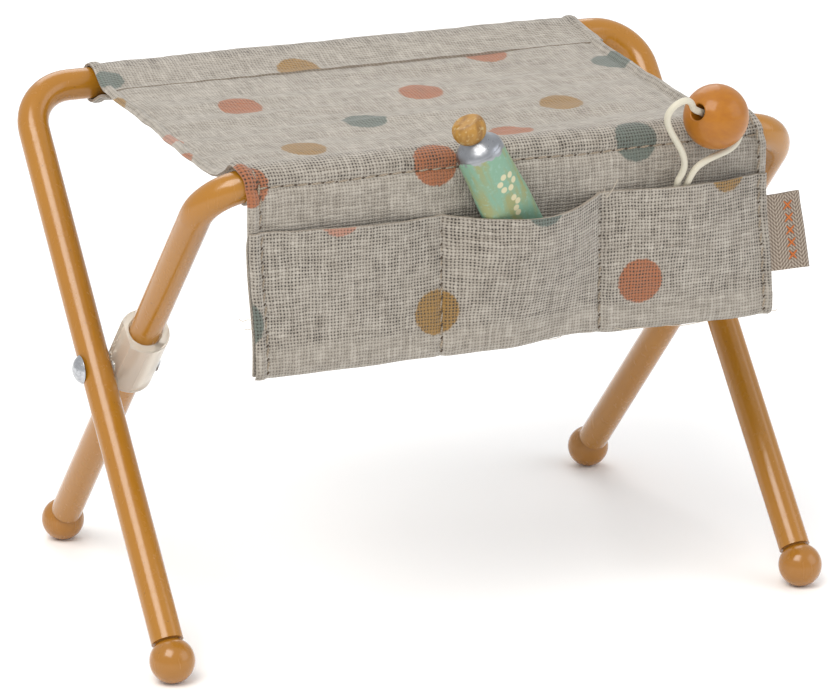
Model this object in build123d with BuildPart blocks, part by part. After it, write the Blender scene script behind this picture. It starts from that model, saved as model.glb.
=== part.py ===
"""Folding doll's changing table: two crossed tube frames, a linen sling with a pocket flap,
a little tube of cream and a wooden bead on a cord. Millimetres, +Z up, standing on Z = 0."""

import os
from math import acos, cos, degrees, pi, radians, sin, sqrt, tan

from build123d import *

os.makedirs("parts", exist_ok=True)

# Tube frames ------------------------------------------------------------------------------
tube_radius = 3.0
tube_wall = 0.7
bend_radius = 9.0
rear_leg_half = 58.9  # rear bar frame: pivot to bar axis, and pivot to the foot balls
front_leg_half = 60.5  # front bar frame
pivot_height = 48.4
rear_half_width = 64.4  # pivot line to a leg's axis, on the outer frame
leg_gap = 0.9  # between an outer and an inner leg

# Feet -------------------------------------------------------------------------------------
ball_radius = 4.2
ball_flat_radius = 0.9  # the worn flat that it stands on
ball_neck = 3.7  # ball centre to the tube's end
stem_length = 6.0  # of the plug inside the tube
plug_clearance = 0.05

# Rivets and spacer sleeves ----------------------------------------------------------------
shank_radius = 1.0
running_clearance = 0.05
rivet_head_radius = 2.7
rivet_head_height = 1.5
rivet_tail_radius = 2.0
rivet_tail_height = 0.8
sleeve_wall = 1.65
sleeve_clearance = 0.05
sleeve_below = 3.0  # along the leg, from the pivot
sleeve_above = 12.0
sleeve_rim_fillet = 0.35
sleeve_to_leg = 0.15

# Cloth ------------------------------------------------------------------------------------
cloth = 0.8
cloth_left = -52.0
cloth_right = 53.5
cloth_on_tube = 0.1  # air between a bar and its loop of cloth
body_gap = 0.3  # between pieces that move apart
rear_hem_reach = 10.0  # rear bar axis to the seam in front of it
sling_fold_reach = 40.2  # front bar axis to the line where the folded sling turns
sling_sag = 3.0
front_loop_past_bend = 1.0  # how far the loop runs past the bar's straight stretch
front_hinge_reach = 4.4  # front bar axis to where the cloth bends down behind it
flap_bottom = 58.0
pocket_left_edge = -50.5
pocket_dividers = (-14.4, 17.2)
pocket_right_edge = 51.5
pocket_mouth = 84.3  # height of the open edge
pocket_knee = 68.0  # height where the pockets draw in
pocket_hem = 1.4  # closed strip along the bottom
left_pocket_depth = 2.0
middle_pocket_depth = 8.0
right_pocket_depth = 3.6
tag_width = 8.0
tag_height = 15.0
tag_thickness = 0.6
tag_middle_height = 73.5

# Tube of cream in the middle pocket ---------------------------------------------------------
cream_radius = 4.5
cream_length = 23.5
cream_crimp_half_width = 5.3
cream_swell = 0.3  # wider than the shoulder where it begins to flatten
cream_squeeze_share = 0.35  # how far down that is, of the length
cream_crimp_half_thickness = 0.6
cream_lean = 27.8  # degrees, to the left of upright
cream_nod = 5.1  # degrees, top forward
cream_across = -8.6  # shoulder, from the middle
cream_ahead_share = 0.57  # shoulder, in front of the flap, of the middle pocket's depth
cream_thickness_share = 0.47  # half thickness above the pocket, of the room inside it
cream_above = 4.4  # shoulder, above the front bar's axis
cream_shoulder_height = 2.4
cream_neck_radius = 2.0
cream_cap_radius = 3.1
cream_cap_height = 3.9

# Wooden bead on a cord ----------------------------------------------------------------------
bead_radius = 6.0
bead_hole_radius = 1.5
bead_across = 38.0  # to the right of the middle
bead_rest_angle = 32.9  # degrees above level, where it leans on the cloth round the front bar
bead_gap = 0.58  # between the bead and that cloth
bead_hole_turn = 204.3  # degrees about Z, from +X
bead_hole_tilt = 19.0  # degrees, the front mouth up
cord_radius = 0.62
knot_radii = (1.7, 1.05, 1.8)
knot_across = 32.8
knot_height = 79.8
knot_gap = 0.15  # between the knot and the flap

# Worked out ---------------------------------------------------------------------------------
ball_centre_height = sqrt(ball_radius**2 - ball_flat_radius**2)
half_height = pivot_height - ball_centre_height
rear_lean = degrees(acos(half_height / rear_leg_half))
front_lean = degrees(acos(half_height / front_leg_half))
bar_height = pivot_height + half_height
front_half_width = rear_half_width - 2 * tube_radius - leg_gap
rear_bar_reach = rear_leg_half * sin(radians(rear_lean))
front_bar_reach = front_leg_half * sin(radians(front_lean))
loop_inner_radius = tube_radius + cloth_on_tube
loop_radius = loop_inner_radius + cloth
bead_reach = loop_radius + bead_gap + bead_radius
bead_ahead = bead_reach * cos(radians(bead_rest_angle))
bead_above = bead_reach * sin(radians(bead_rest_angle))
back_extent = front_bar_reach + ball_radius  # the rear feet are the front bar frame's
front_extent = front_bar_reach + bead_ahead + bead_radius
pivot_y = (front_extent - back_extent) / 2  # centres the outline on the origin
rear_bar_y = pivot_y + rear_bar_reach
front_bar_y = pivot_y - front_bar_reach
sleeve_bore_radius = tube_radius + sleeve_clearance
sleeve_radius = sleeve_bore_radius + sleeve_wall
flap_front_y = front_bar_y - loop_radius
cloth_width = cloth_right - cloth_left
cloth_middle = (cloth_left + cloth_right) / 2

pivot = Vector(0, pivot_y, pivot_height)
rear_up = Vector(0, sin(radians(rear_lean)), cos(radians(rear_lean)))
front_up = Vector(0, -sin(radians(front_lean)), cos(radians(front_lean)))
side_plane = Plane(origin=pivot, x_dir=(0, 1, 0), z_dir=(1, 0, 0))


def yz_plane(x):
    """A plane facing +X at x, whose sketch axes are Y and Z of the whole table."""
    return Plane(origin=(x, 0, 0), x_dir=(0, 1, 0), z_dir=(1, 0, 0))


def write(name, piece):
    """Label a finished piece and write it to its own file."""
    piece.part.label = name
    export_step(piece.part, f"parts/{name}.step")


def tube_frame(name, up, leg_half, half_width):
    """A U of hollow tube: two straight legs joined by a bar, drilled across at the pivot."""
    legs = Plane(origin=pivot, x_dir=(1, 0, 0), z_dir=Vector(1, 0, 0).cross(up))
    leg_end = leg_half - ball_neck
    with BuildPart() as frame:
        with BuildLine(legs) as centre_line:
            FilletPolyline(
                (-half_width, -leg_end),
                (-half_width, leg_half),
                (half_width, leg_half),
                (half_width, -leg_end),
                radius=bend_radius,
            )
        with BuildSketch(Plane(origin=centre_line.line @ 0, z_dir=centre_line.line % 0)):
            Circle(tube_radius)
            Circle(tube_radius - tube_wall, mode=Mode.SUBTRACT)
        sweep()
        with BuildSketch(side_plane):
            Circle(shank_radius + running_clearance)
        extrude(amount=half_width + 2 * tube_radius, both=True, mode=Mode.SUBTRACT)
    write(name, frame)


tube_frame("rear_frame_tube", rear_up, rear_leg_half, rear_half_width)
tube_frame("front_frame_tube", front_up, front_leg_half, front_half_width)


def foot_ball(name, x, up, leg_half):
    """A ball on the end of a leg, with a plug up inside the tube and a flat underneath."""
    centre = pivot - up * leg_half + Vector(x, 0, 0)
    with BuildPart() as foot:
        with BuildSketch(Plane(origin=centre, z_dir=up)):
            Circle(tube_radius - tube_wall - plug_clearance)
        extrude(amount=ball_neck + stem_length)
        chamfer(foot.edges().sort_by(Axis(centre, up))[-1], 0.4)
        with Locations(centre):
            Sphere(ball_radius)
        split(bisect_by=Plane.XY, keep=Keep.TOP)
    write(name, foot)


for side, sign in (("left", -1), ("right", 1)):
    foot_ball(f"front_foot_{side}", sign * rear_half_width, rear_up, rear_leg_half)
    foot_ball(f"rear_foot_{side}", sign * front_half_width, front_up, front_leg_half)

# Clear sleeves on the inner legs, flattened where the outer legs bear on them
facet_x = rear_half_width - tube_radius - sleeve_to_leg
for side, sign in (("left", -1), ("right", 1)):
    sleeve_foot = pivot - front_up * sleeve_below + Vector(sign * front_half_width, 0, 0)
    with BuildPart() as sleeve:
        with BuildSketch(Plane(origin=sleeve_foot, z_dir=front_up)):
            Circle(sleeve_radius)
            Circle(sleeve_bore_radius, mode=Mode.SUBTRACT)
        extrude(amount=sleeve_below + sleeve_above)
        fillet(sleeve.edges().filter_by(GeomType.CIRCLE), sleeve_rim_fillet)
        with BuildSketch(side_plane.offset(sign * facet_x)):
            Rectangle(4 * sleeve_above, 4 * sleeve_above)
        extrude(amount=sign * sleeve_radius, mode=Mode.SUBTRACT)
        with BuildSketch(side_plane):
            Circle(shank_radius + running_clearance)
        extrude(amount=sign * rear_half_width, mode=Mode.SUBTRACT)
    write(f"spacer_sleeve_{side}", sleeve)

# Rivets: domed head outside the outer leg, clenched tail inside the sleeve
head_x = rear_half_width + tube_radius + running_clearance
tail_x = front_half_width - sleeve_radius - running_clearance
dome_radius = (rivet_head_radius**2 + rivet_head_height**2) / (2 * rivet_head_height)
for side, sign in (("left", -1), ("right", 1)):
    with BuildPart() as rivet:
        with BuildSketch(Plane.XY) as outline:
            with BuildLine():
                head = (head_x, rivet_head_radius)
                crown = (head_x + rivet_head_height, 0)
                Line((tail_x - rivet_tail_height, 0), (tail_x - rivet_tail_height, rivet_tail_radius / 2))
                Line((tail_x - rivet_tail_height, rivet_tail_radius / 2), (tail_x, rivet_tail_radius))
                Line((tail_x, rivet_tail_radius), (tail_x, shank_radius))
                Line((tail_x, shank_radius), (head_x, shank_radius))
                Line((head_x, shank_radius), head)
                RadiusArc(head, crown, dome_radius)
                Line(crown, (tail_x - rivet_tail_height, 0))
            make_face()
        revolve(axis=Axis.X)
    rivet_plane = Plane(origin=pivot, x_dir=(sign, 0, 0), z_dir=(0, 0, 1))
    with BuildPart() as placed_rivet:
        add(rivet_plane.location * rivet.part)
    write(f"pivot_rivet_{side}", placed_rivet)


# Cloth loops round the bars, the sling in two halves, and the flap --------------------------
rear_seam_y = rear_bar_y - rear_hem_reach
with BuildPart() as rear_casing:
    with BuildSketch(yz_plane(cloth_left)):
        with Locations((rear_bar_y, bar_height)):
            Circle(loop_radius)
        with BuildLine():
            Polyline(
                (rear_bar_y - 0.4 * loop_radius, bar_height + 0.9 * loop_radius),
                (rear_seam_y, bar_height + cloth),
                (rear_seam_y, bar_height - cloth),
                (rear_bar_y - 0.4 * loop_radius, bar_height - 0.9 * loop_radius),
                close=True,
            )
        make_face()
        with Locations((rear_bar_y, bar_height)):
            Circle(loop_inner_radius, mode=Mode.SUBTRACT)
    extrude(amount=cloth_width)
write("rear_casing", rear_casing)

front_loop_half_width = front_half_width - bend_radius + front_loop_past_bend
with BuildPart() as front_casing:
    with BuildSketch(yz_plane(0)):
        with Locations((front_bar_y, bar_height)):
            Circle(loop_radius)
            Circle(loop_inner_radius, mode=Mode.SUBTRACT)
    extrude(amount=front_loop_half_width, both=True)
write("front_casing", front_casing)

front_hinge_y = front_bar_y + front_hinge_reach
front_hinge_z = bar_height + tube_radius + cloth_on_tube + cloth / 4
fold_y = front_bar_y + sling_fold_reach
fold_z = bar_height - sling_sag + cloth
print("front sling hinge", round(front_hinge_y, 3), round(front_hinge_z, 3))
print("sling fold line", round(fold_y, 3), round(fold_z, 3))
print("rear seam", round(rear_seam_y, 3), round(bar_height, 3), "pivot", round(pivot_y, 3), pivot_height)


def sling_half(name, start, middle, end):
    """A sheet of cloth across the table, curved through three (y, z) points."""
    upper = [(y, z + cloth / 2) for y, z in (start, middle, end)]
    lower = [(y, z - cloth / 2) for y, z in (start, middle, end)]
    with BuildPart() as half:
        with BuildSketch(yz_plane(cloth_left)):
            with BuildLine():
                ThreePointArc(*upper)
                ThreePointArc(*lower)
                Line(upper[0], lower[0])
                Line(upper[2], lower[2])
            make_face()
        extrude(amount=cloth_width)
    write(name, half)


sling_half(
    "sling_front_half",
    (front_hinge_y, front_hinge_z),
    ((front_hinge_y + fold_y) / 2, (front_hinge_z + fold_z) / 2 - sling_sag / 5),
    (fold_y - body_gap / 2, fold_z),
)
sling_half(
    "sling_rear_half",
    (fold_y + body_gap / 2, fold_z),
    ((fold_y + rear_seam_y) / 2, (fold_z + bar_height) / 2 - sling_sag / 6),
    (rear_seam_y - body_gap, bar_height),
)

flap_top = bar_height - sqrt(loop_radius**2 - loop_inner_radius**2) - cloth_on_tube
with BuildPart() as flap_panel:
    with BuildSketch(Plane.XY.offset(flap_bottom)):
        with Locations((cloth_middle, flap_front_y + cloth / 2)):
            Rectangle(cloth_width, cloth)
    extrude(amount=flap_top - flap_bottom)
write("flap_panel", flap_panel)


def pocket(name, left, right, depth):
    """One pocket: a bowed panel on the flap, open above, drawn in and closed at the bottom."""
    middle = (left + right) / 2
    seam = cloth * 1.5
    sections = (
        (flap_bottom + pocket_hem, cloth + 0.12),
        (pocket_knee, cloth + 0.8 * (depth - cloth)),
        (pocket_mouth, depth),
    )
    with BuildPart() as panel:
        for inset in (0, cloth):
            for height, bow in sections:
                with BuildSketch(Plane.XY.offset(height)):
                    with BuildLine():
                        start = (left + seam * (inset > 0), flap_front_y)
                        end = (right - seam * (inset > 0), flap_front_y)
                        ThreePointArc(start, (middle, flap_front_y - bow + inset), end)
                        Line(end, start)
                    make_face()
            loft(ruled=True, mode=Mode.SUBTRACT if inset else Mode.ADD)
        with BuildSketch(Plane.XY.offset(flap_bottom)):
            with Locations((middle, flap_front_y - cloth / 2)):
                Rectangle(right - left, cloth)
        extrude(amount=pocket_hem)
    write(name, panel)


pocket("pocket_left", pocket_left_edge, pocket_dividers[0], left_pocket_depth)
pocket("pocket_middle", pocket_dividers[0], pocket_dividers[1], middle_pocket_depth)
pocket("pocket_right", pocket_dividers[1], pocket_right_edge, right_pocket_depth)

with BuildPart() as seam_tag:
    with BuildSketch(Plane.XY.offset(tag_middle_height - tag_height / 2)):
        with Locations((cloth_right + tag_width / 2, flap_front_y + cloth / 2)):
            Rectangle(tag_width, tag_thickness)
    extrude(amount=tag_height)
write("seam_tag", seam_tag)

# Tube of cream, standing in the middle pocket with its crimped end down ---------------------
cream_up = Vector(0, 0, 1).rotate(Axis.X, cream_nod).rotate(Axis.Y, -cream_lean)
cream_ahead = cream_ahead_share * middle_pocket_depth
cream_half_thickness = cream_thickness_share * (middle_pocket_depth - cloth)
shoulder = Vector(cream_across, flap_front_y - cream_ahead, bar_height + cream_above)
cream_plane = Plane(
    origin=shoulder,
    x_dir=Vector(1, 0, 0).rotate(Axis.X, cream_nod).rotate(Axis.Y, -cream_lean),
    z_dir=cream_up,
)
with BuildPart() as cream_tube_body:
    with BuildSketch(cream_plane.offset(-cream_length)):
        Ellipse(cream_crimp_half_width, cream_crimp_half_thickness)
    with BuildSketch(cream_plane.offset(-cream_length * cream_squeeze_share)):
        Ellipse(cream_radius + cream_swell, cream_half_thickness)
    with BuildSketch(cream_plane):
        Circle(cream_radius)
    loft(ruled=True)
write("cream_tube_body", cream_tube_body)

shoulder_radius = cream_radius * 0.93
with BuildPart() as cream_tube_shoulder:
    with BuildSketch(cream_plane.offset(cloth_on_tube)):
        Circle(shoulder_radius)
    with BuildSketch(cream_plane.offset(cloth_on_tube + cream_shoulder_height)):
        Circle(cream_neck_radius)
    loft()
write("cream_tube_shoulder", cream_tube_shoulder)

with BuildPart() as cream_tube_cap:
    with BuildSketch(cream_plane.offset(2 * cloth_on_tube + cream_shoulder_height)):
        Circle(cream_cap_radius * 0.8)
    extrude(amount=cream_cap_height * 0.3)
    with BuildSketch(cream_plane.offset(2 * cloth_on_tube + cream_shoulder_height + cream_cap_height * 0.3)):
        Circle(cream_cap_radius)
    extrude(amount=cream_cap_height * 0.7)
    fillet(cream_tube_cap.edges().sort_by(Axis(shoulder, cream_up))[-1], 0.8)
write("cream_tube_cap", cream_tube_cap)

# Bead, cord and knot ------------------------------------------------------------------------
bead_centre = Vector(bead_across, front_bar_y - bead_ahead, bar_height + bead_above)
hole_out = Vector(1, 0, 0).rotate(Axis.Y, -bead_hole_tilt).rotate(Axis.Z, bead_hole_turn)
with BuildPart() as bead:
    with Locations(bead_centre):
        Sphere(bead_radius)
    with BuildSketch(Plane(origin=bead_centre, z_dir=hole_out)):
        Circle(bead_hole_radius)
    extrude(amount=bead_radius + 1, both=True, mode=Mode.SUBTRACT)
    fillet(bead.edges().filter_by(GeomType.CIRCLE), 0.25)
write("bead", bead)

# The cord leaves its knot in the right pocket, loops up to the left, goes through the bead and
# comes straight back down behind it.
front_mouth = bead_centre + hole_out * (bead_radius + 1)
back_mouth = bead_centre - hole_out * (bead_radius + 0.9)
cord_route = [
    (32.3, -41.1, 81.2),
    (32.1, -41.2, 83.5),
    (31.8, -41.9, 86.1),
    (32.4, -43.0, 88.1),
    (32.2, -44.1, 90.1),
    (31.0, -45.4, 92.6),
    (29.1, -46.6, 95.1),
    (26.9, -48.2, 97.8),
    (25.5, -49.6, 100.1),
    (25.5, -50.6, 102.0),
    (26.8, -51.2, 103.5),
    (28.8, -50.9, 103.9),
    (30.6, -49.6, 102.7),
    front_mouth,
    back_mouth,
    (44.5, -42.2, 94.1),
    (42.6, -43.9, 92.4),
    (40.2, -44.7, 91.6),
    (38.2, -44.8, 91.1),
    (36.2, -44.6, 90.3),
    (34.6, -44.2, 89.2),
    (33.9, -43.4, 87.6),
    (33.8, -42.1, 85.7),
    (33.4, -41.2, 83.6),
    (33.3, -41.1, 81.2),
]
corners = [Vector(point) for point in cord_route]
runs = [(b - a).length for a, b in zip(corners, corners[1:])]
turns = [(b - a).get_angle(c - b) for a, b, c in zip(corners, corners[1:], corners[2:])]
radii = [
    0.45 * min(before, after) / tan(radians(turn) / 2)
    for before, after, turn in zip(runs, runs[1:], turns)
]
with BuildPart() as toy_cord:
    with BuildLine() as cord_line:
        FilletPolyline(*cord_route, radius=radii)
    with BuildSketch(Plane(origin=cord_line.line @ 0, z_dir=cord_line.line % 0)):
        Circle(cord_radius)
    sweep()
write("toy_cord", toy_cord)
cord_length = cord_line.wire().length
print("cord radii", [round(radius, 1) for radius in radii], "length", round(cord_length, 1))
print("cord volume", round(toy_cord.part.volume, 2), "of", round(pi * cord_radius**2 * cord_length, 2))

with BuildPart() as toy_knot:
    Sphere(1)
    scale(by=knot_radii)
knot_centre = (knot_across, flap_front_y - knot_gap - knot_radii[1], knot_height)
with BuildPart() as placed_knot:
    with Locations(knot_centre):
        add(toy_knot.part)
write("toy_knot", placed_knot)
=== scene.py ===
"""A folding doll's changing table: enamelled tube frames, a printed linen sling with a
pocketed flap, a small tube of cream and a wooden bead on a cord. Metres, +Z up."""

import logging
import math
from collections.abc import Callable, Sequence
from dataclasses import dataclass, field
from enum import Enum
from functools import partial

import bmesh
import bpy
from mathutils import Matrix, Vector, noise


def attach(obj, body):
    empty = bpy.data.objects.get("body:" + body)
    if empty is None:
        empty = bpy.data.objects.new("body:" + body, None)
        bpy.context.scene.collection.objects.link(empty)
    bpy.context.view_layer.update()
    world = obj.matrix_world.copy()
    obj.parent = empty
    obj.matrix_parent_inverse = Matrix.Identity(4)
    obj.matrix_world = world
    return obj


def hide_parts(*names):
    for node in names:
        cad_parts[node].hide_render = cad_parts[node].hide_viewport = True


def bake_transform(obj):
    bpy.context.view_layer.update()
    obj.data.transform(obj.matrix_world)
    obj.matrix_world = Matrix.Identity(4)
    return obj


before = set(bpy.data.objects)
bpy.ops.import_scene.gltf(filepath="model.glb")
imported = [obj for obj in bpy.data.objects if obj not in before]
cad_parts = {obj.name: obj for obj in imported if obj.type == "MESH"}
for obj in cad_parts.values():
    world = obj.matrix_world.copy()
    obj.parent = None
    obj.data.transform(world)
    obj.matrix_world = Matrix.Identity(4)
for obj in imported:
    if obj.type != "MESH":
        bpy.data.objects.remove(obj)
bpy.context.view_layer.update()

logging.basicConfig(level=logging.INFO, format="%(message)s")
log = logging.getLogger("changing_table")

Socket = bpy.types.NodeSocket
Adder = Callable[..., Socket]

MM = 0.001
UV_PER_MM = 0.01  # one unit of a flat map is 100 mm of cloth
MIX_COLOUR = {"data_type": "RGBA", "out": 2}  # what every Mix node of colours is set to
FRONT_BAR = Vector((0.0, -35.88, 92.70))  # axis of the front bar, mm
CLOTH_LEFT = -51.9
CLOTH_RIGHT = 53.2
FLAP_FACE = -39.78  # y of the flap's outer face, mm
SLING_SPLIT = -14.0  # y where the front and rear cloths meet, mm
STITCH = 2.6  # length of one stitch with its gap, mm


# Small tools --------------------------------------------------------------------------------
def linear(colour: str) -> tuple[float, float, float, float]:
    """Turns an sRGB hex colour into linear light.

    Args:
        colour: a hash and six hex digits.

    Returns:
        Red, green, blue and an alpha of 1.
    """
    parts = [int(colour[i : i + 2], 16) / 255 for i in (1, 3, 5)]
    return (*(c / 12.92 if c <= 0.04045 else ((c + 0.055) / 1.055) ** 2.4 for c in parts), 1.0)


def fill_sockets(tree: bpy.types.NodeTree, node: bpy.types.Node, inputs: dict) -> None:
    """Sets or links a node's inputs.

    Args:
        tree: the node tree.
        node: the node.
        inputs: each input's value or the output to link, by socket name or number.
    """
    for key, value in inputs.items():
        if isinstance(value, Socket):
            tree.links.new(value, node.inputs[key])
        else:
            node.inputs[key].default_value = value


def add_node(tree: bpy.types.NodeTree, kind: str, *inputs: object, out: str | int = 0, **settings) -> Socket:
    """Adds one node with its settings, values and links.

    Args:
        tree: the material's node tree.
        kind: the node's type name, without ShaderNode before it.
        inputs: a value or an output to link for each input in order, or one dict that names them.
        out: the name or number of the output that is wanted.
        settings: the node's own properties.

    Returns:
        That output.
    """
    made = tree.nodes.new("ShaderNode" + kind)
    for name, value in settings.items():
        setattr(made, name, value)
    named = inputs[0] if inputs and isinstance(inputs[0], dict) else dict(enumerate(inputs))
    fill_sockets(tree, made, named)
    return made.outputs[out]


def outside_spots(add: Adder, place: Socket, spots: Sequence[tuple[Vector, float]]) -> Socket:
    """Measures how far a place is outside the nearest of some round spots.

    Args:
        add: adds a node to the tree.
        place: the place.
        spots: the middle and the radius of each spot, in the place's unit.

    Returns:
        The distance, which is below zero inside a spot.
    """
    nearest: Socket | None = None
    for middle, radius in spots:
        away = add("VectorMath", place, middle, operation="DISTANCE", out="Value")
        away = add("Math", away, radius, operation="SUBTRACT")
        nearest = away if nearest is None else add("Math", nearest, away, operation="MINIMUM")
    return nearest


def smooth(edge0: float, edge1: float, x: float) -> float:
    """Smoothstep of x from edge0 to edge1."""
    t = min(1.0, max(0.0, (x - edge0) / (edge1 - edge0)))
    return t * t * (3 - 2 * t)


def hump(x: float, middle: float, width: float) -> float:
    """A round hump over x, 1 high at its middle."""
    return math.exp(-(((x - middle) / width) ** 2))


def drift(x: float, y: float, seed: float) -> float:
    """A smooth random value from about -1 to 1 at a place, the same each run."""
    return noise.noise(Vector((x, y, seed)))


def towards_sides(x: float) -> float:
    """How near x is to the cloth's sides: 0 in the middle and about 1 at an edge."""
    return (abs(x) / 52.5) ** 3


def add_object(name: str, data: bpy.types.ID) -> bpy.types.Object:
    """Makes an object at the origin and links it to the scene."""
    made = bpy.data.objects.new(name, data)
    bpy.context.scene.collection.objects.link(made)
    return made


def new_piece(name: str, bm: bmesh.types.BMesh, material: bpy.types.Material) -> bpy.types.Object:
    """Makes a smooth-shaded object at the origin from a finished bmesh.

    Args:
        name: the object's name.
        bm: its mesh, in metres, which is freed.
        material: its first material.

    Returns:
        The object, linked to the scene.
    """
    mesh = bpy.data.meshes.new(name)
    for face in bm.faces:
        face.smooth = True
    bm.to_mesh(mesh)
    bm.free()
    mesh.materials.append(material)
    return add_object(name, mesh)


def new_cords(
    name: str,
    routes: Sequence[Sequence[tuple[float, float, float]]],
    thickness: float,
    material: bpy.types.Material,
) -> bpy.types.Object:
    """Makes a curve object of round NURBS lines.

    Args:
        name: the object's name.
        routes: each line's control points, in mm.
        thickness: the lines' diameter, in mm.
        material: the only material.

    Returns:
        The object, linked to the scene.
    """
    curve = bpy.data.curves.new(name, "CURVE")
    curve.dimensions = "3D"
    curve.bevel_depth = thickness / 2 * MM
    curve.use_fill_caps = True
    for route in routes:
        line = curve.splines.new("NURBS")
        line.points.add(len(route) - 1)
        for spot, point in zip(line.points, route):
            spot.co = (*(Vector(point) * MM), 1.0)
        line.order_u = 3
        line.use_endpoint_u = True
    curve.materials.append(material)
    return add_object(name, curve)


def settle(piece: bpy.types.Object, body: str, slot: str, *nodes: str) -> None:
    """Gives a piece its body and hides the CAD nodes that it stands for.

    Args:
        piece: the piece.
        body: the body that it rides on.
        slot: the record's material slot; not used.
        nodes: the CAD nodes, if any.
    """
    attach(piece, body)
    if nodes:
        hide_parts(*nodes)
    log.info("%s on %s", piece.name, body)


# Finishes -----------------------------------------------------------------------------------
class Ink(Enum):
    """The four printing inks on the linen, as they look dry."""

    TERRACOTTA = "#9C5A31"
    MUSTARD = "#8E6A29"
    TEAL = "#59655E"
    PINK = "#AA7A66"


@dataclass(frozen=True)
class Dot:
    """One printed dot, at its place on the flat cloth in mm."""

    u: float
    v: float
    ink: Ink
    radius: float = 4.4


@dataclass(frozen=True)
class Finish:
    """A material, whose kind says what goes into its shader."""

    name: str

    def sockets(self, add: Adder) -> dict[str, object]:
        """Gives the shader's inputs by name, adding the nodes that they need.

        Args:
            add: adds a node to the tree.

        Returns:
            The shader's inputs by name.
        """
        raise NotImplementedError

    def material(self) -> bpy.types.Material:
        """Builds the material."""
        made = bpy.data.materials.new(self.name)
        made.use_nodes = True
        tree = made.node_tree
        fill_sockets(tree, tree.nodes["Principled BSDF"], self.sockets(partial(add_node, tree)))
        return made


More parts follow.
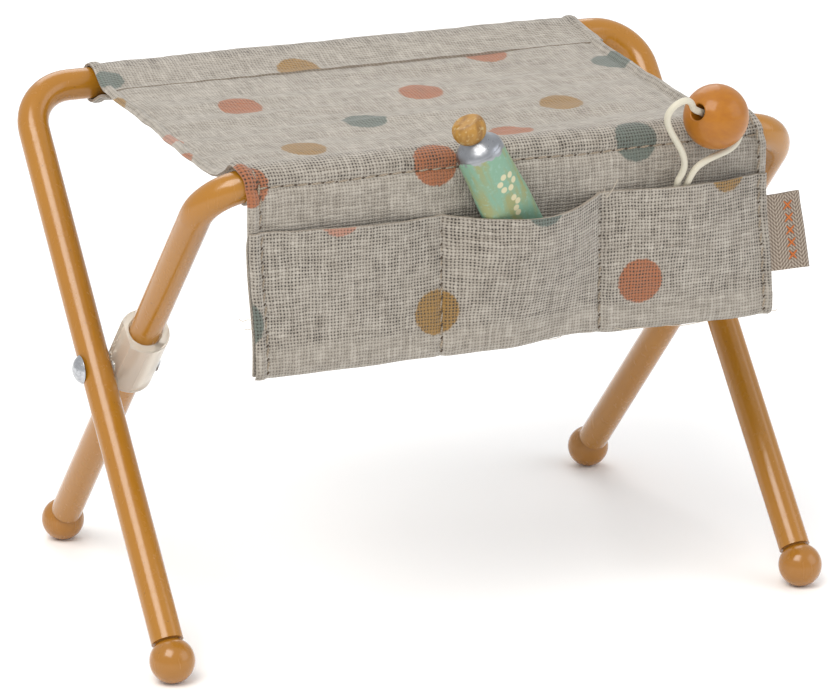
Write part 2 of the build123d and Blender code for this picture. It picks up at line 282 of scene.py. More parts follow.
@dataclass(frozen=True)
class PrintedLinen(Finish):
    """Coarse undyed linen in plain weave, printed with dots: dull, uneven, full of small holes."""

    dots: tuple[Dot, ...] = ()
    closed: tuple[tuple[float, float], ...] = ()  # stretches of v, mm, with a second layer behind
    pitch_mm: float = 0.62  # about 16 threads to the centimetre
    thick_yarn: str = "#BEB8AE"
    thin_yarn: str = "#898277"
    patch: str = "#93887B"
    bark: str = "#5E4E3E"
    # colour of the painted shade in the valleys between threads
    valley_shade: str = "#7C7064"
    # colour painted into the holes as the shadow seen through them
    hole: str = "#2E2822"

    def weave(self, add: Adder, place: Socket) -> tuple[Socket, Socket, Socket, list[Socket]]:
        """Lays the warp and the weft over and under each other.

        Args:
            add: adds a node to the tree.
            place: the place on the flat cloth, in mm.

        Returns:
            The cloth's height, how open it is, the yarn's tone, and the place counted in threads.
        """
        # hand-spun yarn wanders by a fifth of its spacing over a few millimetres
        wander = add("TexNoise", {"Vector": place, "Scale": 0.22, "Detail": 2.0}, out="Color")
        wander = add("VectorMath", wander, (0.5, 0.5, 0.5), operation="SUBTRACT")
        wander = add("VectorMath", {0: wander, 3: 0.75}, operation="SCALE")
        woven = add("VectorMath", place, wander)
        axes = [add("SeparateXYZ", woven, out=i) for i in (0, 1)]
        across = [add("Math", axis, self.pitch_mm, operation="DIVIDE") for axis in axes]
        heights, gaps, tones = [], [], []
        for i, first_over in enumerate((0.34, -0.34)):
            thread, other = add("Math", across[i], operation="FLOOR"), across[1 - i]
            here = add("Math", add("Math", across[i], operation="FRACT"), 0.5, operation="SUBTRACT")
            here = add("Math", here, operation="ABSOLUTE")
            # each thread has its own thickness, and swells and thins along its length
            apart = add("Math", thread, 5.37, operation="MULTIPLY")
            along = add("Math", other, 0.11, operation="MULTIPLY")
            spun = add("CombineXYZ", apart, along, 3.0 + i)
            slub = add("TexNoise", {"Vector": spun, "Scale": 1.0, "Detail": 2.0, "Roughness": 0.65})
            half = add("Math", slub, 0.62, 0.13, operation="MULTIPLY_ADD")
            round_off = add("Math", add("Math", here, half, operation="DIVIDE"), 2.0, operation="POWER")
            profile = add("Math", 1.0, round_off, operation="SUBTRACT", use_clamp=True)
            turn = add("Math", add("Math", other, thread, operation="ADD"), math.pi, operation="MULTIPLY")
            wave = add("Math", turn, operation="SINE")
            over = add("Math", wave, first_over, 0.66, operation="MULTIPLY_ADD")
            heights.append(add("Math", profile, over, operation="MULTIPLY"))
            gaps.append(add("Math", 1.0, profile, operation="SUBTRACT"))
            tones.append(slub)
        height = add("Math", *heights, operation="MAXIMUM")
        return height, add("Math", *gaps, operation="MULTIPLY"), add("Math", *tones, operation="ADD"), across

    def yarn(self, add: Adder, place: Socket, tone: Socket) -> Socket:
        """Colours the yarn: thick and thin threads, broad patches and dark flecks.

        Args:
            add: adds a node to the tree.
            place: the place on the flat cloth, in mm.
            tone: how thick the threads are.

        Returns:
            The colour before printing.
        """
        thick = add("Math", tone, 0.55, operation="SUBTRACT", use_clamp=True)
        # broad uneven tone of undyed flax, about 20 mm patches
        patch = add("TexNoise", {"Vector": place, "Scale": 0.055, "Detail": 3.0})
        patch = add("Math", patch, 0.3, operation="MULTIPLY")
        # dark flecks of bark fibre, under a millimetre long
        stretched = add("Mapping", {"Vector": place, "Scale": (0.9, 2.3, 1.0)})
        fleck = add("TexNoise", {"Vector": stretched, "Scale": 1.0, "Detail": 1.0})
        fleck = add("MapRange", {0: fleck, 1: 0.70, 2: 0.70 + 1 / 7, 4: 0.6})
        colour = add("Mix", {0: thick, 6: linear(self.thin_yarn), 7: linear(self.thick_yarn)}, **MIX_COLOUR)
        colour = add("Mix", {0: patch, 6: colour, 7: linear(self.patch)}, **MIX_COLOUR)
        return add("Mix", {0: fleck, 6: colour, 7: linear(self.bark)}, **MIX_COLOUR)

    def printing(self, add: Adder, place: Socket, tone: Socket, colour: Socket) -> Socket:
        """Prints the dots, their edges broken by the weave.

        Args:
            add: adds a node to the tree.
            place: the place on the flat cloth, in mm.
            tone: how thick the threads are, since thick ones take more ink.
            colour: the yarn's colour.

        Returns:
            The printed colour.
        """
        ragged = add("TexNoise", {"Vector": place, "Scale": 1.4, "Detail": 2.0})
        ragged = add("Math", add("Math", ragged, 0.5, operation="SUBTRACT"), 0.9, operation="MULTIPLY")
        taken = add("Math", tone, 0.25, 0.62, operation="MULTIPLY_ADD")
        for ink in Ink:
            spots = [(Vector((dot.u, dot.v, 0.0)), dot.radius) for dot in self.dots if dot.ink is ink]
            if not spots:
                continue
            edge = add("Math", outside_spots(add, place, spots), ragged, operation="ADD")
            inside = add("Math", edge, -3.0, operation="MULTIPLY", use_clamp=True)
            inked = add("Math", inside, taken, operation="MULTIPLY")
            colour = add("Mix", {0: inked, 6: colour, 7: linear(ink.value)}, **MIX_COLOUR)
        return colour

    def openness(self, add: Adder, place: Socket) -> Socket | float:
        """Says how open the weave looks, which sets how deep the painted shade in its valleys and holes goes: less
        where a second layer behind blinds its holes.

        Args:
            add: adds a node to the tree.
            place: the place on the flat cloth, in mm.

        Returns:
            One where it is fully open.
        """
        shown: Socket | float = 1.0
        v = add("SeparateXYZ", place, out=1)
        for ends in self.closed:
            inside = [
                add("MapRange", {0: v, 1: end - 0.8, 2: end + 0.8}, interpolation_type="SMOOTHSTEP")
                for end in ends
            ]
            covered = add("Math", add("Math", *inside, operation="SUBTRACT"), 0.68, operation="MULTIPLY")
            shown = add("Math", shown, add("Math", 1.0, covered, operation="SUBTRACT"), operation="MULTIPLY")
        return shown

    def sockets(self, add: Adder) -> dict[str, object]:
        """Weaves and prints the cloth on its own flat map, and paints shade into its valleys and shadow into its
        holes.

        Args:
            add: adds a node to the tree.

        Returns:
            The shader's inputs by name.
        """
        place = add("VectorMath", {0: add("UVMap", uv_map="flat"), 3: 1 / UV_PER_MM}, operation="SCALE")
        height, hole, tone, across = self.weave(add, place)
        colour = self.printing(add, place, tone, self.yarn(add, place, tone))
        shown = self.openness(add, place)
        # painted shade: the valleys between threads are darkened where shade falls in them, and the holes are
        # painted nearly black as the shadow seen through them
        valley_shade = add("Math", 0.75, height, operation="SUBTRACT")
        valley_shade = add("Math", valley_shade, 1.15, operation="MULTIPLY", use_clamp=True)
        depth = add("Math", shown, 0.6, 0.4, operation="MULTIPLY_ADD")
        valley_shade = add("Math", valley_shade, depth, operation="MULTIPLY")
        darkened = {0: valley_shade, 6: colour, 7: linear(self.valley_shade)}
        colour = add("Mix", darkened, blend_type="MULTIPLY", **MIX_COLOUR)
        # holes open and close over a few millimetres, and no two neighbours are open alike; the open ones get the
        # hole colour as painted shadow seen through them
        loose = add("TexNoise", {"Vector": place, "Scale": 0.35, "Detail": 3.0})
        loose = add("MapRange", {0: loose, 1: 0.36, 2: 0.64, 3: 0.25, 4: 1.6})
        corner = [add("Math", add("Math", t, 0.5, operation="ADD"), operation="FLOOR") for t in across]
        chance = add("TexWhiteNoise", {"Vector": add("CombineXYZ", *corner)})
        chance = add("Math", chance, 1.3, 0.3, operation="MULTIPLY_ADD")
        dark = add("Math", add("Math", hole, 1.7, operation="POWER"), loose, operation="MULTIPLY")
        dark = add("Math", dark, chance, operation="MULTIPLY")
        dark = add("Math", dark, 1.6, operation="MULTIPLY", use_clamp=True)
        dark = add("Math", dark, shown, operation="MULTIPLY")
        fibre = add("TexNoise", {"Vector": place, "Scale": 9.0, "Detail": 2.0})
        relief = add("Math", fibre, 0.18, height, operation="MULTIPLY_ADD")
        return {
            "Base Color": add("Mix", {0: dark, 6: colour, 7: linear(self.hole)}, **MIX_COLOUR),
            "Normal": add("Bump", {"Height": relief, "Strength": 0.8, "Distance": 0.00022}),
            "Roughness": 0.92,
            "Specular IOR Level": 0.2,
            "Sheen Weight": 0.25,
            "Sheen Roughness": 0.6,
        }


@dataclass(frozen=True)
class Enamel(Finish):
    """Stoving enamel on steel tube or a turned ball: glossy, flowed, faintly rippled, with a
    few dull specks. It gives soft broad highlights over a deep ochre."""

    body: str
    worn: str
    roughness: float = 0.21
    dust: str = "#6B4A22"

    def sockets(self, add: Adder) -> dict[str, object]:
        """Mixes the coat on Object coordinates.

        Args:
            add: adds a node to the tree.

        Returns:
            The shader's inputs by name.
        """
        place = add("TexCoord", out="Object")
        # colour drifts over about 20 mm
        drifting = add("TexNoise", {"Vector": place, "Scale": 50.0, "Detail": 3.0})
        # dust specks of 0.3 mm caught in the coat
        speck = add("TexNoise", {"Vector": place, "Scale": 1500.0, "Detail": 1.0})
        speck = add("MapRange", {0: speck, 1: 0.74, 2: 0.80, 4: 0.55})
        # handling scuffs, long along the leg
        stretched = add("Mapping", {"Vector": place, "Scale": (900.0, 900.0, 90.0)})
        scuff = add("TexNoise", {"Vector": stretched, "Scale": 1.0, "Detail": 3.0})
        scuffed = self.roughness + 0.16
        # orange peel, 1.5 mm across
        peel = add("TexNoise", {"Vector": place, "Scale": 650.0, "Detail": 2.0})
        colour = add("Mix", {0: drifting, 6: linear(self.body), 7: linear(self.worn)}, **MIX_COLOUR)
        return {
            "Base Color": add("Mix", {0: speck, 6: colour, 7: linear(self.dust)}, **MIX_COLOUR),
            "Roughness": add("MapRange", {0: scuff, 1: 0.5, 2: 0.8, 3: self.roughness, 4: scuffed}),
            "Normal": add("Bump", {"Height": peel, "Strength": 0.35, "Distance": 0.00006}),
            "IOR": 1.5,
            "Coat Weight": 0.3,
            "Coat Roughness": 0.16,
        }


@dataclass(frozen=True)
class ClearVinyl(Finish):
    """Extruded soft vinyl tube: clear, faintly warm, with die lines along it."""

    def sockets(self, add: Adder) -> dict[str, object]:
        """Draws the die lines on Object coordinates.

        Args:
            add: adds a node to the tree.

        Returns:
            The shader's inputs by name.
        """
        lines = add("Mapping", {"Vector": add("TexCoord", out="Object"), "Scale": (1600.0, 500.0, 300.0)})
        die = add("TexNoise", {"Vector": lines, "Scale": 1.0, "Detail": 2.0})
        return {
            "Base Color": linear("#FFF8EC"),
            "Roughness": add("MapRange", {0: die, 3: 0.05, 4: 0.22}),
            "Normal": add("Bump", {"Height": die, "Strength": 0.25, "Distance": 0.00005}),
            "IOR": 1.42,
            "Transmission Weight": 0.72,
        }


@dataclass(frozen=True)
class Metal(Finish):
    """Bare bright metal: a plated rivet or rubbed tube foil, with fine scratches and dull patches."""

    bright: str
    smoothest: float
    roughest: float
    grain_mm: float
    dull: str = "#8D9096"

    def sockets(self, add: Adder) -> dict[str, object]:
        """Scratches the metal on Object coordinates.

        Args:
            add: adds a node to the tree.

        Returns:
            The shader's inputs by name.
        """
        place = add("TexCoord", out="Object")
        grain = add("TexNoise", {"Vector": place, "Scale": 1 / (self.grain_mm * MM), "Detail": 4.0})
        return {
            "Base Color": add("Mix", {0: grain, 6: linear(self.bright), 7: linear(self.dull)}, **MIX_COLOUR),
            "Roughness": add("MapRange", {0: grain, 1: 0.3, 2: 0.7, 3: self.smoothest, 4: self.roughest}),
            "Normal": add("Bump", {"Height": grain, "Strength": 0.4, "Distance": 0.00008}),
            "Metallic": 1.0,
        }


@dataclass(frozen=True)
class LacqueredWood(Finish):
    """Turned beech bead, dyed orange and dipped in clear lacquer: warm, translucent-looking gloss
    over faint rings and short dark flecks."""

    axis: Vector

    def sockets(self, add: Adder) -> dict[str, object]:
        """Grows the wood on Object coordinates turned to the hole's axis.

        Args:
            add: adds a node to the tree.

        Returns:
            The shader's inputs by name.
        """
        spin = self.axis.to_track_quat("Z", "Y").inverted().to_euler()
        turned = add("Mapping", {"Vector": add("TexCoord", out="Object"), "Rotation": spin})
        # growth rings 0.9 mm apart, drawn out along the hole
        stretched = add("Mapping", {"Vector": turned, "Scale": (1100.0, 1100.0, 160.0)})
        ring = add("TexNoise", {"Vector": stretched, "Scale": 1.0, "Detail": 3.0})
        fleck = add("TexNoise", {"Vector": stretched, "Scale": 3.1, "Detail": 1.0})
        fleck = add("MapRange", {0: fleck, 1: 0.66, 2: 0.76, 4: 0.45})
        colour = add("Mix", {0: ring, 6: linear("#AA6C06"), 7: linear("#965808")}, **MIX_COLOUR)
        return {
            "Base Color": add("Mix", {0: fleck, 6: colour, 7: linear("#9A5414")}, **MIX_COLOUR),
            "Normal": add("Bump", {"Height": ring, "Strength": 0.2, "Distance": 0.00005}),
            "Roughness": 0.5,
            "Specular IOR Level": 0.3,
            "Coat Weight": 0.42,
            "Coat Roughness": 0.13,
        }


@dataclass(frozen=True)
class BrushedPaint(Finish):
    """Hobby paint laid on thick with a small brush: streaky, dry-brushed, soft satin."""

    body: str
    streak: str
    dry: str
    dabs: tuple[Vector, ...] = ()  # middles of pale dabs, mm
    dab_radius_mm: float = 0.62
    bare_from_mm: float = math.inf  # where along the strokes the paint stops and bare foil shows
    lay: Vector = field(default_factory=lambda: Vector((0, 0, 1)))

    def sockets(self, add: Adder) -> dict[str, object]:
        """Brushes the paint on Object coordinates, its strokes along the piece.

        Args:
            add: adds a node to the tree.

        Returns:
            The shader's inputs by name.
        """
        place = add("TexCoord", out="Object")
        spin = self.lay.to_track_quat("Z", "Y").inverted().to_euler()
        turned = add("Mapping", {"Vector": place, "Rotation": spin})
        # brush strokes 1.5 mm wide and several times as long
        strokes = add("Mapping", {"Vector": turned, "Scale": (420.0, 420.0, 90.0)})
        stroke = add("TexNoise", {"Vector": strokes, "Scale": 1.0, "Detail": 4.0})
        wet = add("MapRange", {0: stroke, 1: 0.46, 2: 0.62})
        crumb = add("TexNoise", {"Vector": place, "Scale": 1500.0, "Detail": 3.0})
        dry = add("MapRange", {0: crumb, 1: 0.56, 2: 0.70, 4: 0.7})
        colour = add("Mix", {0: wet, 6: linear(self.body), 7: linear(self.streak)}, **MIX_COLOUR)
        colour = add("Mix", {0: dry, 6: colour, 7: linear(self.dry)}, **MIX_COLOUR)
        if self.dabs:
            edge = self.dab_radius_mm * MM
            away = outside_spots(add, place, [(dab * MM, edge) for dab in self.dabs])
            dabbed = add("MapRange", {0: away, 1: edge * -0.15, 2: edge * 0.1, 3: 0.9, 4: 0.0})
            colour = add("Mix", {0: dabbed, 6: colour, 7: linear("#C9BF9C")}, **MIX_COLOUR)
        made: dict[str, object] = {
            "Roughness": 0.5,
            "Normal": add("Bump", {"Height": crumb, "Strength": 0.45, "Distance": 0.00012}),
        }
        if math.isfinite(self.bare_from_mm):
            # the paint's end wanders by 5 mm times a noise that is a half on average
            patchy = add("TexNoise", {"Vector": place, "Scale": 420.0, "Detail": 4.0})
            along = add("SeparateXYZ", turned, out=2)
            edge = add("Math", patchy, 5.0 * MM, along, operation="MULTIPLY_ADD")
            start = (self.bare_from_mm + 2.5) * MM
            bare = add("MapRange", {0: edge, 1: start - 0.15 * MM, 2: start + 0.15 * MM})
            colour = add("Mix", {0: bare, 6: colour, 7: linear("#9A9DA1")}, **MIX_COLOUR)
            made |= {"Metallic": bare, "Roughness": add("MapRange", {0: bare, 3: 0.5, 4: 0.33})}
        return made | {"Base Color": colour}


@dataclass(frozen=True)
class Yarn(Finish):
    """Spun thread, tape or waxed cord: matt, twisted, slightly uneven in tone."""

    pale: str
    dark: str
    twist_mm: float
    roughness: float = 0.75

    def sockets(self, add: Adder) -> dict[str, object]:
        """Twists the yarn on Object coordinates.

        Args:
            add: adds a node to the tree.

        Returns:
            The shader's inputs by name.
        """
        place = add("TexCoord", out="Object")
        wave = {"Vector": place, "Scale": 0.5 / (self.twist_mm * MM), "Distortion": 3.0, "Detail": 2.0}
        ply = add("TexWave", wave, bands_direction="DIAGONAL", out="Fac")
        tone = add("TexNoise", {"Vector": place, "Scale": 400.0, "Detail": 3.0})
        mixed = add("Math", ply, tone, operation="MULTIPLY")
        return {
            "Base Color": add("Mix", {0: mixed, 6: linear(self.dark), 7: linear(self.pale)}, **MIX_COLOUR),
            "Normal": add("Bump", {"Height": mixed, "Strength": 0.5, "Distance": 0.00008}),
            "Roughness": self.roughness,
        }


@dataclass(frozen=True)
class HerringboneTape(Finish):
    """Woven herringbone tape, flax coloured: slanted ribs, painted lighter on their crests and darker between them
    as light and shade, over an uneven tone.
    """

    turn_mm: float = 2.4  # width after which the slant of the twill turns round
    rib_mm: float = 0.78
    pick_mm: float = 0.62

    def sockets(self, add: Adder) -> dict[str, object]:
        """Weaves the tape on its own flat map.

        Args:
            add: adds a node to the tree.

        Returns:
            The shader's inputs by name.
        """
        place = add("VectorMath", {0: add("UVMap", uv_map="flat"), 3: 1 / UV_PER_MM}, operation="SCALE")
        x, y = (add("SeparateXYZ", place, out=i) for i in (0, 1))
        zig = add("Math", x, self.turn_mm, operation="PINGPONG")
        rib = add("Math", add("Math", y, zig, operation="ADD"), math.tau / self.rib_mm, operation="MULTIPLY")
        pick = add("Math", x, math.tau / self.pick_mm, operation="MULTIPLY")
        rib, pick = (add("Math", wave, operation="SINE") for wave in (rib, pick))
        rib = add("Math", pick, 0.6, rib, operation="MULTIPLY_ADD")
        tone = add("TexNoise", {"Vector": place, "Scale": 1.5, "Detail": 3.0})
        # painted light and shade: the ribs' crests are coloured lighter and the grooves darker, times a noise of
        # uneven tone
        lit = add("MapRange", {0: add("Math", rib, tone, operation="MULTIPLY"), 1: -0.5, 2: 0.6})
        return {
            "Base Color": add("Mix", {0: lit, 6: linear("#66584A"), 7: linear("#A89B8D")}, **MIX_COLOUR),
            "Normal": add("Bump", {"Height": lit, "Strength": 0.7, "Distance": 0.00015}),
            "Roughness": 0.9,
            "Sheen Weight": 0.2,
        }


def folded_edge() -> bpy.types.Material:
    """The one finish of every folded cloth edge, which shows thread without holes."""
    name = "linen_folded_edge"
    return bpy.data.materials.get(name) or Yarn(name, "#B3ABA0", "#857A6D", 0.6, 0.9).material()


# Cloth --------------------------------------------------------------------------------------
class Profile:
    """A smooth line in the side view, measured by its own length, in mm."""

    def __init__(self, corners: Sequence[tuple[float, float]], steps: int = 24) -> None:
        """Rounds the corners into one smooth line.

        Args:
            corners: (y, z) points that the line passes through.
            steps: how finely each stretch is divided.
        """
        points = [Vector(p) for p in corners]
        ends = [points[0] * 2 - points[1], *points, points[-1] * 2 - points[-2]]
        self.line: list[Vector] = []
        for a, b, c, d in zip(ends, ends[1:], ends[2:], ends[3:]):
            bend, twist = 2 * a - 5 * b + 4 * c - d, 3 * b - a - 3 * c + d
            for t in (k / steps for k in range(steps)):
                self.line.append(0.5 * (2 * b + (c - a) * t + bend * t**2 + twist * t**3))
        self.line.append(points[-1])
        self.marks = [0.0]
        for a, b in zip(self.line, self.line[1:]):
            self.marks.append(self.marks[-1] + (b - a).length)

    @property
    def length(self) -> float:
        """The line's whole length."""
        return self.marks[-1]

    def at(self, s: float) -> tuple[Vector, Vector]:
        """Finds a place on the line.

        Args:
            s: the length along the line.

        Returns:
            The point, and the unit normal to the left of travel.
        """
        s = min(max(s, 0.0), self.length)
        low, high = 0, len(self.marks) - 1
        while high - low > 1:
            middle = (low + high) // 2
            low, high = (middle, high) if self.marks[middle] <= s else (low, middle)
        a, b = self.line[low], self.line[low + 1]
        t = (s - self.marks[low]) / max(1e-9, self.marks[low + 1] - self.marks[low])
        before = self.line[max(0, low - 1)]
        after = self.line[min(len(self.line) - 1, low + 2)]
        run = ((b - before).lerp(after - a, t)).normalized()
        return a.lerp(b, t), Vector((-run.y, run.x))

    def nearest(self, y: float, z: float) -> float:
        """The length along the line nearest to a point in the side view."""
        spot = Vector((y, z))
        return self.marks[min(range(len(self.line)), key=lambda i: (self.line[i] - spot).length_squared)]


@dataclass
class Sheet:
    """A flat-mapped grid of cloth that a placing rule drapes."""

    name: str
    place: Callable[[float, float], Vector]  # the outer face at x and at length s up the cloth
    faces: Vector  # roughly where the face that shows looks
    end: float
    start: float = 0.0
    left: float = CLOTH_LEFT
    right: float = CLOTH_RIGHT
    cell: float = 0.85
    thickness: float = 0.55

    @property
    def flat(self) -> tuple[float, float]:
        """The size that it was cut to, in metres."""
        return (self.right - self.left) * MM, (self.end - self.start) * MM

    def build(self, material: bpy.types.Material) -> bpy.types.Object:
        """Builds the cloth.

        Args:
            material: the cloth's finish, on the map named flat.

        Returns:
            The object, with a live Solidify that thickens it inwards from the face that shows.
        """
        across, along = (max(2, round(size / MM / self.cell)) for size in self.flat)
        bm = bmesh.new()
        bmesh.ops.create_grid(bm, x_segments=across, y_segments=along, size=0.5)
        flat = bm.loops.layers.uv.new("flat")
        spots: dict[bmesh.types.BMVert, tuple[float, float]] = {}
        for vert in bm.verts:
            spots[vert] = (
                self.left + (vert.co.x + 0.5) * (self.right - self.left),
                self.start + (vert.co.y + 0.5) * (self.end - self.start),
            )
        for face in bm.faces:
            for loop in face.loops:
                x, s = spots[loop.vert]
                loop[flat].uv = (x * UV_PER_MM, s * UV_PER_MM)
        for vert, (x, s) in spots.items():
            vert.co = self.place(x, s) * MM
        bm.normal_update()
        facing = sum((face.normal * face.calc_area() for face in bm.faces), Vector())
        if facing.dot(self.faces) < 0:
            bmesh.ops.reverse_faces(bm, faces=bm.faces[:])
        for edge in bm.edges:
            if edge.is_boundary:
                edge.smooth = False
        piece = new_piece(self.name, bm, material)
        piece.data.materials.append(folded_edge())
        solid = piece.modifiers.new("cloth_thickness", "SOLIDIFY")
        solid.thickness = self.thickness * MM
        solid.offset = -1.0
        solid.use_even_offset = True
        solid.material_offset_rim = 1
        return piece


def hem_ridge(inside: float, width: float = 2.6) -> float:
    """How far a turned hem stands above the cloth, this far inside its edge, in mm."""
    roll = 0.5 * (1 - smooth(width - 0.9, width, inside)) - 0.5 * (1 - smooth(0.0, 0.9, inside))
    return roll - 0.22 * hump(inside, width + 0.3, 0.6)


@dataclass
class TopCloth:
    """The one length of linen that hangs as the flap, wraps the front bar and runs back as
    the sling to the rear seam."""

    corners: tuple[tuple[float, float], ...] = (
        *((FLAP_FACE + 0.25, 58.1), (FLAP_FACE, 62.0), (FLAP_FACE, 72.0), (FLAP_FACE, 82.0)),
        *((FLAP_FACE, 88.5), (FLAP_FACE + 0.05, 91.9), (-39.25, 93.9), (-38.0, 95.7), (-35.9, 96.42), (-33.4, 95.9)),
        *((-30.6, 94.4), (-27.2, 92.7), (-23.5, 91.4), (-19.0, 90.8), (SLING_SPLIT, 90.65), (-9.0, 90.6)),
        *((-2.0, 90.85), (6.0, 91.35), (13.0, 91.75), (20.0, 92.25), (27.0, 92.8), (34.4, 93.35)),
    )
    crease_z: float = 92.7

    def __post_init__(self) -> None:
        """Works out the side line and its landmarks."""
        self.profile = Profile(self.corners)
        self.split = self.profile.nearest(SLING_SPLIT, 90.65)
        self.crease = self.profile.nearest(FLAP_FACE, self.crease_z)
        self.bar_top = self.profile.nearest(-35.9, 96.42)

    def seam(self, x: float) -> float:
        """Where the seam under the bar runs at x, as a length up the cloth."""
        return self.crease + 0.5 * drift(x * 0.06, 1.7, 2.0)

    def bottom_shift(self, x: float) -> float:
        """How much higher than its lowest the flap's bottom edge is at x."""
        puckered = 0.9 * hump(x, 9.5, 6.5) + 0.35 * smooth(6, 16, x) * (1 - smooth(24, 40, x))
        return puckered + 0.25 * smooth(-50, 50, x) + 0.2 * drift(x * 0.12, 0.0, 5.0)

    def edge_shift(self, x: float, s: float) -> float:
        """Says how far the cloth's sides are moved towards +x.

        Args:
            x: the place across the cloth, whose sign says which side.
            s: the length up from the flap's bottom.

        Returns:
            The move at the very edge, in mm.
        """
        if x < 0:
            low = 1.15 * (1 - smooth(4, 24, s)) + 0.35
            high = -0.9 * hump(s, self.bar_top, 5.0)
            waist = 0.9 * smooth(self.bar_top + 4, self.split + 12, s)
            waist *= 1 - smooth(self.split + 24, self.profile.length, s)
            return low * (1 - smooth(self.crease, self.bar_top, s)) + high + waist
        flap = -0.1 - 1.9 * smooth(2, 26, s) - 1.7 * smooth(self.crease - 2, self.bar_top, s)
        back = smooth(self.bar_top, self.bar_top + 9, s)
        return flap * (1 - back) - 0.5 * back

    def place(self, x: float, s: float) -> Vector:
        """Where the cloth's outer face is, at x and at length s up from the flap's bottom.

        Args:
            x: the place across the cloth, in mm.
            s: the length up it, in mm.

        Returns:
            The place on the table, in mm.
        """
        point, normal = self.profile.at(s)
        on_top = smooth(self.bar_top - 1.0, self.bar_top + 5.0, s)
        # the seam under the bar draws the flap in along a wandering crease
        above = s - self.seam(x)
        lift = 0.25 * hump(above, 1.7, 1.1) - 0.6 * hump(above, 0.0, 0.8)
        # side hems, turned under
        lift += (1 + 0.5 * on_top) * (hem_ridge(x - CLOTH_LEFT) + hem_ridge(CLOTH_RIGHT - x))
        lift += 0.10 * drift(x * 0.35, s * 0.35, 9.0)
        # long soft ripples across the sling, where it has been folded away
        sling = smooth(self.bar_top + 4, self.bar_top + 14, s)
        middle = 1 - 0.6 * smooth(38, 50, abs(x))
        ripple = 0.85 * drift(x * 0.018, s * 0.13, 3.1) + 0.34 * drift(x * 0.05, s * 0.33, 6.3)
        lift += sling * middle * ripple
        lift += sling * 0.6 * hump(point.x, -4.5, 2.6) * smooth(12, 22, x) * (1 - smooth(36, 46, x))
        # the flap waves a little, and lies flat behind the pockets
        lift += (1 - on_top) * 0.28 * drift(x * 0.07, s * 0.05, 12.0) * smooth(2, 8, self.crease - s)
        covered = 1 - smooth(24.0, 27.0, s)
        lift = lift * (1 - covered) - 0.3 * covered
        y = point.x + normal.x * lift
        z = point.y + normal.y * lift - 0.315 * sling * math.cos(math.pi * min(1.0, abs(x) / 70.0))
        z += self.bottom_shift(x) * (1 - smooth(0.0, 14.0, s))
        # the right side stays higher behind the bar
        z += 1.1 * smooth(22, 50, x) * hump(y, -22.0, 9.0)
        frayed = 0.14 * drift(s * 0.16, 4.0 if x > 0 else 8.0, 1.0)
        return Vector((x + towards_sides(x) * (self.edge_shift(x, s) + frayed), y, z))

    def on_flap(self, x: float, z: float, ink: Ink) -> Dot:
        """A dot on the flap or the front of the bar, at its place on the table."""
        return Dot(x, self.profile.nearest(FLAP_FACE, z), ink)

    def on_sling(self, x: float, y: float, ink: Ink, radius: float = 4.4) -> Dot:
        """A dot on the sling, at its place on the table."""
        return Dot(x, self.profile.nearest(y, 92.0), ink, radius)

    def build(self) -> None:
        """Builds the front and the rear part, which meet where the sling's front half is rigid."""
        dots = (
            self.on_flap(-51.6, 93.9, Ink.TERRACOTTA),
            self.on_flap(-15.2, 94.1, Ink.TERRACOTTA),
            self.on_flap(25.0, 94.6, Ink.TEAL),
            self.on_sling(27.5, 33.5, Ink.TERRACOTTA),
            self.on_sling(49.9, 21.7, Ink.TEAL),
            self.on_sling(-30.2, 18.6, Ink.TERRACOTTA),
            self.on_sling(6.3, 16.8, Ink.TERRACOTTA),
            self.on_sling(-11.1, 3.2, Ink.TEAL),
            self.on_sling(28.2, -0.1, Ink.MUSTARD),
            self.on_sling(-29.1, -10.6, Ink.MUSTARD),
            self.on_sling(12.0, -12.2, Ink.TERRACOTTA),
            self.on_sling(-51.0, 1.8, Ink.PINK, 2.6),
            self.on_sling(-55.2, -8.6, Ink.TERRACOTTA),
            self.on_sling(-55.0, 26.2, Ink.MUSTARD),
        )
        doubled = ((-5.0, self.crease), (self.bar_top + 3.0, 200.0))
        linen = PrintedLinen("linen_top_printed", dots, doubled).material()
        front_cut = Sheet("front_cloth", self.place, Vector((0, -0.4, 1)), self.split)
        rear_cut = Sheet("rear_cloth", self.place, Vector((0, 0, 1)), self.profile.length, self.split)
        front, rear = front_cut.build(linen), rear_cut.build(linen)
        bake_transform(front)
        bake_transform(rear)
        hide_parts("sling_front_half", "flap_panel")
        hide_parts("sling_rear_half")
        log.info("front_cloth and rear_cloth: %.1f mm long", self.profile.length)


TOP_CLOTH = TopCloth()


@dataclass
class FrontTunnel:
    """The strip under the front bar that closes the cloth into a loop round it."""

    radius: float = 3.72
    half_width: float = 51.0
    turns: tuple[int, ...] = (188, 205, 225, 250, 275, 300, 325, 348, 372)  # degrees round the bar
    tucked: float = -0.55  # how far the first corner hides behind the crease
    sewn_on: float = 0.3  # how far the last two reach out to the sling

    def build(self) -> None:
        """Builds the strip, from the crease round under the bar to the sling's underside."""
        reaches = [self.radius + self.tucked, *[self.radius] * 6, *[self.radius + self.sewn_on] * 2]
        corners = []
        for degrees, reach in zip(self.turns, reaches):
            turn = math.radians(degrees)
            corners.append((FRONT_BAR.y + reach * math.cos(turn), FRONT_BAR.z + reach * math.sin(turn)))
        profile = Profile(corners)

        def place(x: float, s: float) -> Vector:
            """Where the strip's outer face is."""
            point, normal = profile.at(s)
            lift = 0.14 * drift(x * 0.2, s * 0.3, 21.0)
            return Vector((x, point.x - normal.x * lift, point.y - normal.y * lift))

        cut = Sheet(
            "front_tunnel",
            place,
            Vector((0, 0, -1)),
            profile.length,
            left=-self.half_width,
            right=self.half_width,
            cell=0.9,
        )
        piece = cut.build(PrintedLinen("linen_plain_underside").material())
        settle(piece, "front_frame", "linen", "front_casing")


